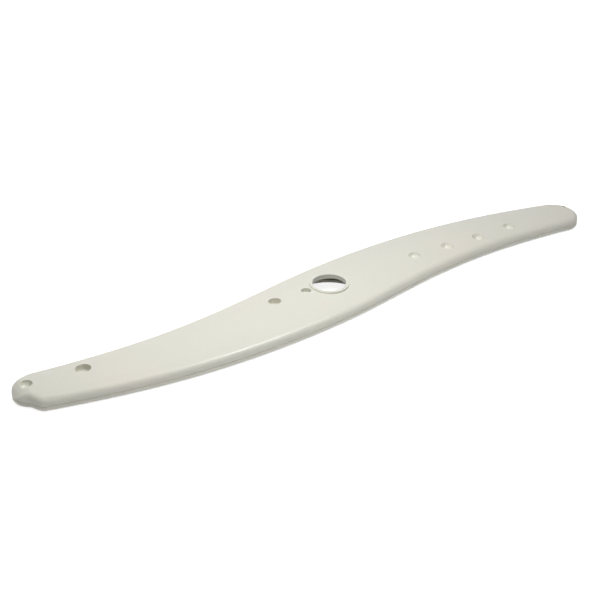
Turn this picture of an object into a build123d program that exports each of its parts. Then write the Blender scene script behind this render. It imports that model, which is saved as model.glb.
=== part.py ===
from build123d import *
import os
from math import acos, atan, cos, degrees, hypot, pi, radians, sin, sqrt

# Plan of the arm, in millimetres. Apart from its tips it is the same after half a turn about its hub.
arm_length = 490.4
hub_width = 66.4
tip_width = 36.0
waist_blend = 2.6
bow = 15.9
bow_wave = 271.5

# Rounds of the right tip's outer and inner corners, as shares of its width at the end
outer_share = 0.55
inner_share = 0.43

# Left tip: a round corner on its inner side, a nose whose top arches down to the end, and a shallow notch in
# the slanted wall that leads to the outer side
corner_share = 0.57
nose_round = 0.333 * tip_width
nose_turn = 35.0
nose_slope_back = 0.264 * tip_width
nose_slope_start = 10.0
notch_depth = 0.061 * tip_width
notch_slant = 27.6
notch_inner_round = 0.111 * tip_width
notch_corner_round = 0.2 * tip_width

# Section of the arm
edge_height = 10.2
hub_crown = 3.9
tip_crown = 1.6
seam_height = 4.7
seam_land = 1.1
wall_land = 1.1
seam_chamfer = 0.35

# Walls of the two welded shells
side_wall = 2.3
skin = 2.2
floor = 2.0
inner_round = 1.6
solid_tip = 16.0
rib_height = 2.4
rib_thickness = 1.2
rib_clearance = 0.15

# Hub
hub_bore = 25.0
rim_width = 2.2
rim_rise = 0.9
rim_round = 0.35
inlet_bore = 55.0

# Jets in the top skin, each with its place along and across the arm. Cups also have a mouth each.
jet_wall = 1.6
dimple_jets = [(80.5, 3.2), (112.4, 3.6), (143.4, 3.2), (176.4, 5.2)]
dimple_mouth = 9.4
dimple_depth = 3.4
dimple_nozzle = 2.4
dimple_nozzle_offset = 1.8
dimple_tilt = 50.0
cup_jets = [(-46.9, -0.5, 9.4), (-197.2, -7.0, 10.8)]
cup_depth = 4.8
cup_round = 0.8
cup_nozzle = 2.4
cup_nozzle_offset = 2.4

# Blind recess beside the hub, where the mould was filled
gate_place = (-19.8, 0.4)
gate_mouth = 7.2
gate_depth = 3.4

# Drive jet in the top of the nose, fed by a level nozzle
drive_back = 0.272 * tip_width
drive_side = 0.105 * tip_width
drive_mouth = 8.6
drive_depth = 4.4
drive_nozzle = 2.2

# Side jet in the outer corner of the right tip
side_jet_back = 0.103 * tip_width
side_jet_side = 0.285 * tip_width
side_jet_mouth = 3.8
side_jet_depth = 2.6
side_jet_nozzle = 2.0

# Far enough past the arm for a cutting tool to leave it
past = 12.0

# Passes that settle where a tip's rounds begin, and spans of each long edge and of half the crown
tip_passes = 20
edge_spans = 12
crown_spans = 3

# What follows from the sizes above
half_length = arm_length / 2
tip_centre = half_length - tip_width / 2
taper = (hub_width - tip_width) / 2
taper_rate = sqrt((taper + waist_blend) ** 2 - waist_blend ** 2) / tip_centre
channel_end = half_length - solid_tip
bottom_round = seam_height - seam_land
top_round = edge_height - seam_height - wall_land
rim_top = edge_height + hub_crown + rim_rise
tall = rim_top + past
UP = (Align.CENTER, Align.CENTER, Align.MIN)
DOWN = (Align.CENTER, Align.CENTER, Align.MAX)


# Plan outline

def centre_line(x):
    return bow * sin(pi * x / bow_wave)


def heading(x):
    """Direction of the centre line, as an angle from the length of the arm."""
    return atan(bow * pi / bow_wave * cos(pi * x / bow_wave))


def half_width(x):
    return hub_width / 2 + waist_blend - hypot(waist_blend, taper_rate * x)


def edge_point(x, side, inset):
    """Point of a long edge square to the centre line at x: side -1 is the near edge, +1 the far one."""
    across = side * (half_width(x) - inset)
    return (x - across * sin(heading(x)), centre_line(x) + across * cos(heading(x)))


def edge_heading(x, side):
    closing = atan(taper_rate ** 2 * x / hypot(waist_blend, taper_rate * x))
    return heading(x) - side * closing


def direction(angle):
    return (cos(angle), sin(angle))


def long_edge(start, stop, inset):
    """Near edge of the arm between two places along it."""
    stations = [start + (stop - start) * step / edge_spans for step in range(edge_spans + 1)]
    points = [edge_point(x, -1, inset) for x in stations]
    return Spline(*points, tangents=[direction(edge_heading(x, -1)) for x in (start, stop)])


def round_start(side, inset, radius, reach, slant):
    """Place along the arm where a long edge runs into a tip's round, so that the round touches a line.

    The line lies at reach from the hub axis, and its normal is turned by slant from the length of the arm.
    """
    x = reach - radius
    for _ in range(tip_passes):
        edge_x, edge_y = edge_point(x, side, inset)
        edge = edge_heading(x, side)
        centre_x = edge_x + side * radius * sin(edge)
        centre_y = edge_y - side * radius * cos(edge)
        x += reach - radius - centre_x * cos(slant) - centre_y * sin(slant)
    return x


def near_round(start, inset, radius, turn):
    """Round of the right tip that takes over from the near edge, up to turn degrees before its end."""
    edge = edge_heading(start, -1)
    return JernArc(edge_point(start, -1, inset), direction(edge), radius, 90 - degrees(edge) - turn)


def far_round(start, inset, radius, turn):
    """Round of the right tip that takes over from the far edge, up to turn degrees before its end."""
    edge = edge_heading(start, 1)
    return JernArc(edge_point(start, 1, inset), direction(edge), radius, turn - 90 - degrees(edge))


def plain_tip(inset, end):
    """Places where the rounds of the right tip take over from its near and far edges, and its edges."""
    room = 2 * (half_width(end) - inset)
    inner = inner_share * room
    outer = outer_share * room
    near_start = round_start(-1, inset, inner, end, 0)
    far_start = round_start(1, inset, outer, end, 0)
    near = near_round(near_start, inset, inner, 0)
    far = far_round(far_start, inset, outer, 0)
    return near_start, far_start, [near, Line(near @ 1, far @ 1), far]


def notched_tip(end):
    """The same for a tip with a nose and a notch in its far side, drawn as if it were the right tip."""
    corner = 2 * corner_share * half_width(end)
    lead = (corner - nose_round) * (1 - cos(radians(nose_turn)))
    near_start = round_start(-1, 0, corner, end + lead, 0)
    near = near_round(near_start, 0, corner, nose_turn)
    swing = degrees(acos(1 - notch_depth / (nose_round + notch_inner_round)))
    nose = JernArc(near @ 1, near % 1, nose_round, nose_turn + notch_slant + swing)
    hollow = JernArc(nose @ 1, nose % 1, notch_inner_round, -swing)
    slant = radians(notch_slant)
    reach = (hollow @ 1).X * cos(slant) + (hollow @ 1).Y * sin(slant)
    far_start = round_start(1, 0, notch_corner_round, reach, slant)
    far = far_round(far_start, 0, notch_corner_round, notch_slant)
    return near_start, far_start, [near, nose, hollow, Line(hollow @ 1, far @ 1), far]


def half_turn(edges):
    return [edge.rotate(Axis.Z, 180) for edge in edges]


def channel_plan(inset, end):
    """Plan face inside the arm, drawn in by inset all round, with its tips at end."""
    near_start, far_start, tip = plain_tip(inset, end)
    half = [long_edge(-far_start, near_start, inset)] + tip
    return make_face(half + half_turn(half))


def arm_plan():
    """Plan face of the arm, with its notched tip on the left."""
    right_near, right_far, right_tip = plain_tip(0, half_length)
    left_near, left_far, left_tip = notched_tip(half_length)
    right = [long_edge(-left_far, right_near, 0)] + right_tip
    left = [long_edge(-right_far, left_near, 0)] + left_tip
    return make_face(right + half_turn(left))


def prism(plan, low, high):
    return Pos(0, 0, low) * extrude(plan, high - low)


def top_loop(body):
    return body.faces().sort_by(Axis.Z)[-1].edges()


def bottom_loop(body):
    return body.faces().sort_by(Axis.Z)[0].edges()


# Crowned top and the arch of the nose

def top_height(x, y):
    along = min(abs(x) / tip_centre, 1)
    crown = hub_crown + (tip_crown - hub_crown) * along ** 2
    across = (y - centre_line(x)) / half_width(x)
    return edge_height + crown * (1 - across ** 2)


def crown_section(x, drop):
    """Cross section under the crowned top at one place along the arm, wider than the arm is there."""
    middle = centre_line(x)
    reach = half_width(x) + past
    near = (x, middle - reach, top_height(x, middle - reach) - drop)
    ridge = (x, middle, top_height(x, middle) - drop)
    far = (x, middle + reach, top_height(x, middle + reach) - drop)
    arc = ThreePointArc(near, ridge, far)
    rest = Polyline(far, (x, middle + reach, -past), (x, middle - reach, -past), near)
    return make_face([arc, rest])


def under_crown(drop):
    span = (half_length + past) / crown_spans
    return loft([crown_section(span * step, drop) for step in range(-crown_spans, crown_spans + 1)])


def nose_slope():
    """Tool that arches the top of the nose from a ridge across the left tip down to the land at its end."""
    ridge_x = nose_slope_back - half_length
    ridge_z = top_height(ridge_x, centre_line(ridge_x))
    drop = ridge_z - seam_height - wall_land
    start = radians(nose_slope_start)
    radius = (nose_slope_back ** 2 + drop ** 2) / 2 / (drop * cos(start) - nose_slope_back * sin(start))
    block = Box(tip_width, hub_width, tip_width, align=(Align.MAX, Align.CENTER, Align.CENTER))
    arch = Rot(90, 0, 0) * Cylinder(radius, hub_width + past)
    return Pos(ridge_x, 0, ridge_z) * (block - Pos(radius * sin(start), 0, -radius * cos(start)) * arch)


# Jets

def boss(x, y, mouth, depth):
    """Pad under the skin that leaves a wall round and below a recess."""
    pad = Cylinder(mouth / 2 + jet_wall, depth + jet_wall - skin / 2, align=DOWN)
    return Pos(x, y, top_height(x, y) - skin / 2) * pad


def ball_radius(reach, rise):
    """Radius of a ball whose cap is as wide as twice reach and as high as rise."""
    return (reach ** 2 + rise ** 2) / (2 * rise)


def dimple(x, y, mouth, depth):
    """Tool for a round hollow in the top."""
    radius = ball_radius(mouth / 2, depth)
    return Pos(x, y, top_height(x, y) - depth + radius) * Sphere(radius)


def dimple_jet(x, y):
    """A jet that slants away from the hub, out of a dimple."""
    nozzle = Rot(0, 90 - dimple_tilt, 0) * Cylinder(dimple_nozzle / 2, past, align=DOWN)
    hollow_floor = top_height(x, y) - dimple_depth
    return dimple(x, y, dimple_mouth, dimple_depth) + Pos(x - dimple_nozzle_offset, y, hollow_floor) * nozzle


def cup(x, y, mouth, depth):
    """Tool for a round recess with a soft floor edge."""
    recess = Cylinder(mouth / 2, past, align=UP)
    recess = fillet(bottom_loop(recess), cup_round)
    return Pos(x, y, top_height(x, y) - depth) * recess


def cup_jet(x, y, mouth):
    """A jet in a cup, with its nozzle on the near side of the floor."""
    nozzle = Cylinder(cup_nozzle / 2, past, align=DOWN)
    return cup(x, y, mouth, cup_depth) + Pos(x, y - cup_nozzle_offset, top_height(x, y)) * nozzle


def level_nozzle(bore):
    """Tool for a nozzle that runs level from the origin, back through the solid right tip."""
    return Rot(0, -90, 0) * Cylinder(bore / 2, solid_tip, align=UP)


def drive_jet():
    """A jet out of a dimple in the nose, with a level nozzle from the channel."""
    x = drive_back - half_length
    nozzle_height = top_height(x, -drive_side) - drive_depth + drive_nozzle / 2
    nozzle = Pos(x, -drive_side, nozzle_height) * Rot(0, 0, 180) * level_nozzle(drive_nozzle)
    return dimple(x, -drive_side, drive_mouth, drive_depth) + nozzle


def side_jet():
    """Tool for the side jet: a pocket in the corner of the tip, with a level nozzle from the channel."""
    x = half_length - side_jet_back
    pocket_floor = Pos(x, side_jet_side, top_height(x, side_jet_side) - side_jet_depth)
    pocket = Cylinder(side_jet_mouth / 2, past, align=UP)
    return pocket_floor * (pocket + Pos(0, 0, side_jet_nozzle / 2) * level_nozzle(side_jet_nozzle))


# Shells

def upper_shell():
    outer = prism(arm_plan(), seam_height, tall) & under_crown(0)
    outer = fillet(top_loop(outer), top_round)
    outer = chamfer(bottom_loop(outer), seam_chamfer)
    outer -= nose_slope()
    channel = prism(channel_plan(side_wall, channel_end), seam_height, tall) & under_crown(skin)
    channel = fillet(top_loop(channel), inner_round)
    shell = outer - channel
    rim = Cylinder(hub_bore / 2 + rim_width, rim_rise + skin, align=DOWN)
    rim = fillet(top_loop(rim), rim_round)
    shell += Pos(0, 0, rim_top) * rim
    for x, y in dimple_jets:
        shell += boss(x, y, dimple_mouth, dimple_depth)
        shell -= dimple_jet(x, y)
    for x, y, mouth in cup_jets:
        shell += boss(x, y, mouth, cup_depth)
        shell -= cup_jet(x, y, mouth)
    shell += boss(*gate_place, gate_mouth, gate_depth)
    shell -= cup(*gate_place, gate_mouth, gate_depth)
    shell -= drive_jet()
    shell -= side_jet()
    return shell - Cylinder(hub_bore / 2, 2 * tall)


def lower_shell():
    outer = prism(arm_plan(), 0, seam_height)
    outer = fillet(bottom_loop(outer), bottom_round)
    outer = chamfer(top_loop(outer), seam_chamfer)
    rib_inset = side_wall + rib_clearance
    rib_end = channel_end - rib_clearance
    shell = outer + prism(channel_plan(rib_inset, rib_end), floor, seam_height + rib_height)
    channel = prism(channel_plan(rib_inset + rib_thickness, rib_end - rib_thickness), floor, tall)
    shell -= fillet(bottom_loop(channel), inner_round)
    return shell - Cylinder(inlet_bore / 2, 2 * tall)


os.makedirs("parts", exist_ok=True)
export_step(upper_shell(), "parts/upper_shell.step")
export_step(lower_shell(), "parts/lower_shell.step")
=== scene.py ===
from math import cos, radians, sin

import bpy
from mathutils import Matrix, Vector

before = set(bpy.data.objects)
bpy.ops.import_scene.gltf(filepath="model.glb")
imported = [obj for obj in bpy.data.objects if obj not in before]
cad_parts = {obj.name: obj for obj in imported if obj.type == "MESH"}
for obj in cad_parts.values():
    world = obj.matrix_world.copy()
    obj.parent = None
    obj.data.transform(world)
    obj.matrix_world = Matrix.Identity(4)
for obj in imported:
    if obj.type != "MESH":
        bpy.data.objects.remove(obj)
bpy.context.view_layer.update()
scene = bpy.context.scene

white = (1.0, 1.0, 1.0)


# Node helpers

def new_material(name):
    material = bpy.data.materials.new(name)
    material.use_nodes = True
    material.node_tree.nodes.clear()
    return material, material.node_tree


def add_node(tree, kind, **sockets):
    node = tree.nodes.new(kind)
    for name, value in sockets.items():
        node.inputs[name.replace("_", " ")].default_value = value
    return node


def noise(tree, place, scale, detail, roughness=0.5, distortion=0.0):
    node = add_node(tree, "ShaderNodeTexNoise", Scale=scale, Detail=detail, Roughness=roughness,
                    Distortion=distortion)
    tree.links.new(place, node.inputs["Vector"])
    return node.outputs["Fac"]


def ramp(tree, value, *stops):
    """Colours along a value, each stop a place and a linear colour."""
    node = tree.nodes.new("ShaderNodeValToRGB")
    elements = node.color_ramp.elements
    while len(elements) < len(stops):
        elements.new(0.5)
    for element, (place, colour) in zip(elements, stops):
        element.position = place
        element.color = (*colour, 1.0)
    tree.links.new(value, node.inputs["Fac"])
    return node.outputs["Color"]


def spread(tree, value, low, high, to_low, to_high):
    node = add_node(tree, "ShaderNodeMapRange", From_Min=low, From_Max=high, To_Min=to_low, To_Max=to_high)
    tree.links.new(value, node.inputs["Value"])
    return node.outputs["Result"]


def multiply(tree, first, second):
    """The product of two colours."""
    node = add_node(tree, "ShaderNodeMix", Factor=1.0)
    node.data_type = "RGBA"
    node.blend_type = "MULTIPLY"
    colours = [socket for socket in node.inputs if socket.type == "RGBA"]
    tree.links.new(first, colours[0])
    tree.links.new(second, colours[1])
    return next(socket for socket in node.outputs if socket.type == "RGBA")


def bump(tree, height, strength, distance, normal=None):
    node = add_node(tree, "ShaderNodeBump", Strength=strength, Distance=distance)
    tree.links.new(height, node.inputs["Height"])
    if normal is not None:
        tree.links.new(normal, node.inputs["Normal"])
    return node.outputs["Normal"]


def shown_white(tree, lit, shown):
    """One shader for the light on the object, another for the camera, reflections and clear bodies."""
    rays = tree.nodes.new("ShaderNodeLightPath")
    value = rays.outputs["Is Camera Ray"]
    for kind in ("Is Glossy Ray", "Is Transmission Ray"):
        either = tree.nodes.new("ShaderNodeMath")
        either.operation = "MAXIMUM"
        tree.links.new(value, either.inputs[0])
        tree.links.new(rays.outputs[kind], either.inputs[1])
        value = either.outputs["Value"]
    choice = tree.nodes.new("ShaderNodeMixShader")
    tree.links.new(value, choice.inputs["Fac"])
    tree.links.new(lit, choice.inputs[1])
    tree.links.new(shown, choice.inputs[2])
    return choice.outputs["Shader"]


def surface(tree, kind, shader):
    output = tree.nodes.new(kind)
    tree.links.new(shader, output.inputs["Surface"])


# Off-white moulded plastic, its texture scales per metre and its depths in metres

flow_scale = 14.0
speck_scale = 1100.0
sheen_scale = 90.0
sink_scale, sink_depth = 38.0, 0.0006
grain_scale, grain_depth = 2600.0, 0.00006
smoothest, roughest = 0.28, 0.38
speck_shade = (0.965, 0.965, 0.96)
plastic_ior = 1.49
glow_weight, glow_depth = 0.12, 0.0016
glow_spread = (1.0, 0.85, 0.65)


def moulded_plastic(name, shift, pale, warm, cool):
    material, tree = new_material(name)
    coordinates = tree.nodes.new("ShaderNodeTexCoord")
    mapping = add_node(tree, "ShaderNodeMapping", Location=(shift, 2.0 * shift, 0.0))
    tree.links.new(coordinates.outputs["Object"], mapping.inputs["Vector"])
    place = mapping.outputs["Vector"]

    flow = noise(tree, place, flow_scale, 3.0, 0.55, 0.4)
    tone = ramp(tree, flow, (0.32, cool), (0.52, pale), (0.72, warm))
    speckled = ramp(tree, noise(tree, place, speck_scale, 2.0), (0.3, speck_shade), (0.62, white))
    sheen = noise(tree, place, sheen_scale, 4.0, 0.6)
    sinks = bump(tree, noise(tree, place, sink_scale, 2.0), 0.25, sink_depth)
    grain = bump(tree, noise(tree, place, grain_scale, 3.0, 0.6), 0.22, grain_depth, sinks)

    shader = add_node(tree, "ShaderNodeBsdfPrincipled", IOR=plastic_ior, Subsurface_Weight=glow_weight,
                      Subsurface_Radius=glow_spread, Subsurface_Scale=glow_depth)
    tree.links.new(multiply(tree, tone, speckled), shader.inputs["Base Color"])
    tree.links.new(spread(tree, sheen, 0.3, 0.7, smoothest, roughest), shader.inputs["Roughness"])
    tree.links.new(grain, shader.inputs["Normal"])
    surface(tree, "ShaderNodeOutputMaterial", shader.outputs["BSDF"])
    return material


finishes = {
    "upper_shell": moulded_plastic("upper_plastic", 0.0, pale=(0.778, 0.765, 0.674),
                                   warm=(0.797, 0.762, 0.680), cool=(0.757, 0.757, 0.674)),
    "lower_shell": moulded_plastic("lower_plastic", 3.7, pale=(0.753, 0.740, 0.652),
                                   warm=(0.770, 0.738, 0.657), cool=(0.732, 0.732, 0.650)),
}
for name, finish in finishes.items():
    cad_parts[name].data.materials[0] = finish


# Pale floor, white to the camera apart from a soft shadow

floor_size = 40.0
floor_drop = 0.00005
floor_shades = (0.82, 0.82, 0.82), (0.85, 0.85, 0.85)
lamp_reach = 0.35, 0.85
floor_glow = 0.80, 1.0


def floor_material():
    material, tree = new_material("studio_floor")
    place = tree.nodes.new("ShaderNodeTexCoord").outputs["Object"]
    plain = tree.nodes.new("ShaderNodeBsdfDiffuse")
    cloud = noise(tree, place, 3.0, 3.0)
    tree.links.new(ramp(tree, cloud, (0.3, floor_shades[0]), (0.7, floor_shades[1])), plain.inputs["Color"])

    away = tree.nodes.new("ShaderNodeVectorMath")
    away.operation = "LENGTH"
    tree.links.new(place, away.inputs[0])
    glow = add_node(tree, "ShaderNodeEmission", Color=(*white, 1.0))
    tree.links.new(spread(tree, away.outputs["Value"], *lamp_reach, *floor_glow), glow.inputs["Strength"])
    shown = tree.nodes.new("ShaderNodeAddShader")
    tree.links.new(plain.outputs["BSDF"], shown.inputs[0])
    tree.links.new(glow.outputs["Emission"], shown.inputs[1])
    surface(tree, "ShaderNodeOutputMaterial", shown_white(tree, plain.outputs["BSDF"], shown.outputs["Shader"]))
    return material


bpy.ops.mesh.primitive_plane_add(size=floor_size, location=(0.0, 0.0, -floor_drop))
floor = bpy.context.object
floor.name = "studio_floor"
floor.data.materials.append(floor_material())


# Camera at the photo's angle

pitch = radians(29.8)
turn = radians(32.1)
distance = 0.880
image_width = 600.0
focal_px = 1200.0
hub_px = (329.2, 282.5)
rim_top = 0.0150

right = Vector((1.0, 0.0, 0.0))
ahead = Vector((0.0, cos(pitch), -sin(pitch)))
above = right.cross(ahead)
ray = right * (hub_px[0] - image_width / 2) - above * (hub_px[1] - image_width / 2) + ahead * focal_px
swing = Matrix.Rotation(-turn, 3, "Z")
spot = swing @ (ray.normalized() * -distance) + Vector((0.0, 0.0, rim_top))
right, above, ahead = swing @ right, swing @ above, swing @ ahead

camera_data = bpy.data.cameras.new("photo_camera")
camera_data.sensor_width = 36.0
camera_data.lens = focal_px / image_width * camera_data.sensor_width
camera_data.clip_start = 0.01
camera = bpy.data.objects.new("photo_camera", camera_data)
camera.matrix_world = Matrix(((right.x, above.x, -ahead.x, spot.x), (right.y, above.y, -ahead.y, spot.y),
                              (right.z, above.z, -ahead.z, spot.z), (0.0, 0.0, 0.0, 1.0)))
scene.collection.objects.link(camera)
scene.camera = camera


# Soft lamps above the arm, placed by the camera's directions

left = Vector((-right.x, -right.y, 0.0)).normalized()
back = Vector((ahead.x, ahead.y, 0.0)).normalized()


def soft_box(name, to_left, to_back, up, size, energy, lights=True, reflects=True):
    data = bpy.data.lights.new(name, "AREA")
    data.shape = "DISK"
    data.size = size
    data.energy = energy
    lamp = bpy.data.objects.new(name, data)
    lamp.location = left * to_left + back * to_back + Vector((0.0, 0.0, up))
    lamp.rotation_euler = (-lamp.location).to_track_quat("-Z", "Y").to_euler()
    lamp.visible_diffuse = lights
    lamp.visible_glossy = reflects
    scene.collection.objects.link(lamp)


soft_box("key_light", 0.032, -0.075, up=0.45, size=0.36, energy=1.80, reflects=False)
soft_box("side_light", -0.30, 0.0, up=0.70, size=0.12, energy=0.36, reflects=False)
soft_box("edge_light", -0.27, -0.06, up=0.60, size=0.12, energy=1.90, lights=False)


# Dim surroundings that look white to the camera

sky_tint = (0.97, 0.98, 1.0)
sky_strength = 0.16


def studio_world():
    world = bpy.data.worlds.new("studio")
    world.use_nodes = True
    tree = world.node_tree
    tree.nodes.clear()
    dim = add_node(tree, "ShaderNodeBackground", Color=(*sky_tint, 1.0), Strength=sky_strength)
    bright = add_node(tree, "ShaderNodeBackground", Color=(*white, 1.0), Strength=1.0)
    sky = shown_white(tree, dim.outputs["Background"], bright.outputs["Background"])
    surface(tree, "ShaderNodeOutputWorld", sky)
    return world


scene.world = studio_world()
scene.view_settings.view_transform = "Standard"
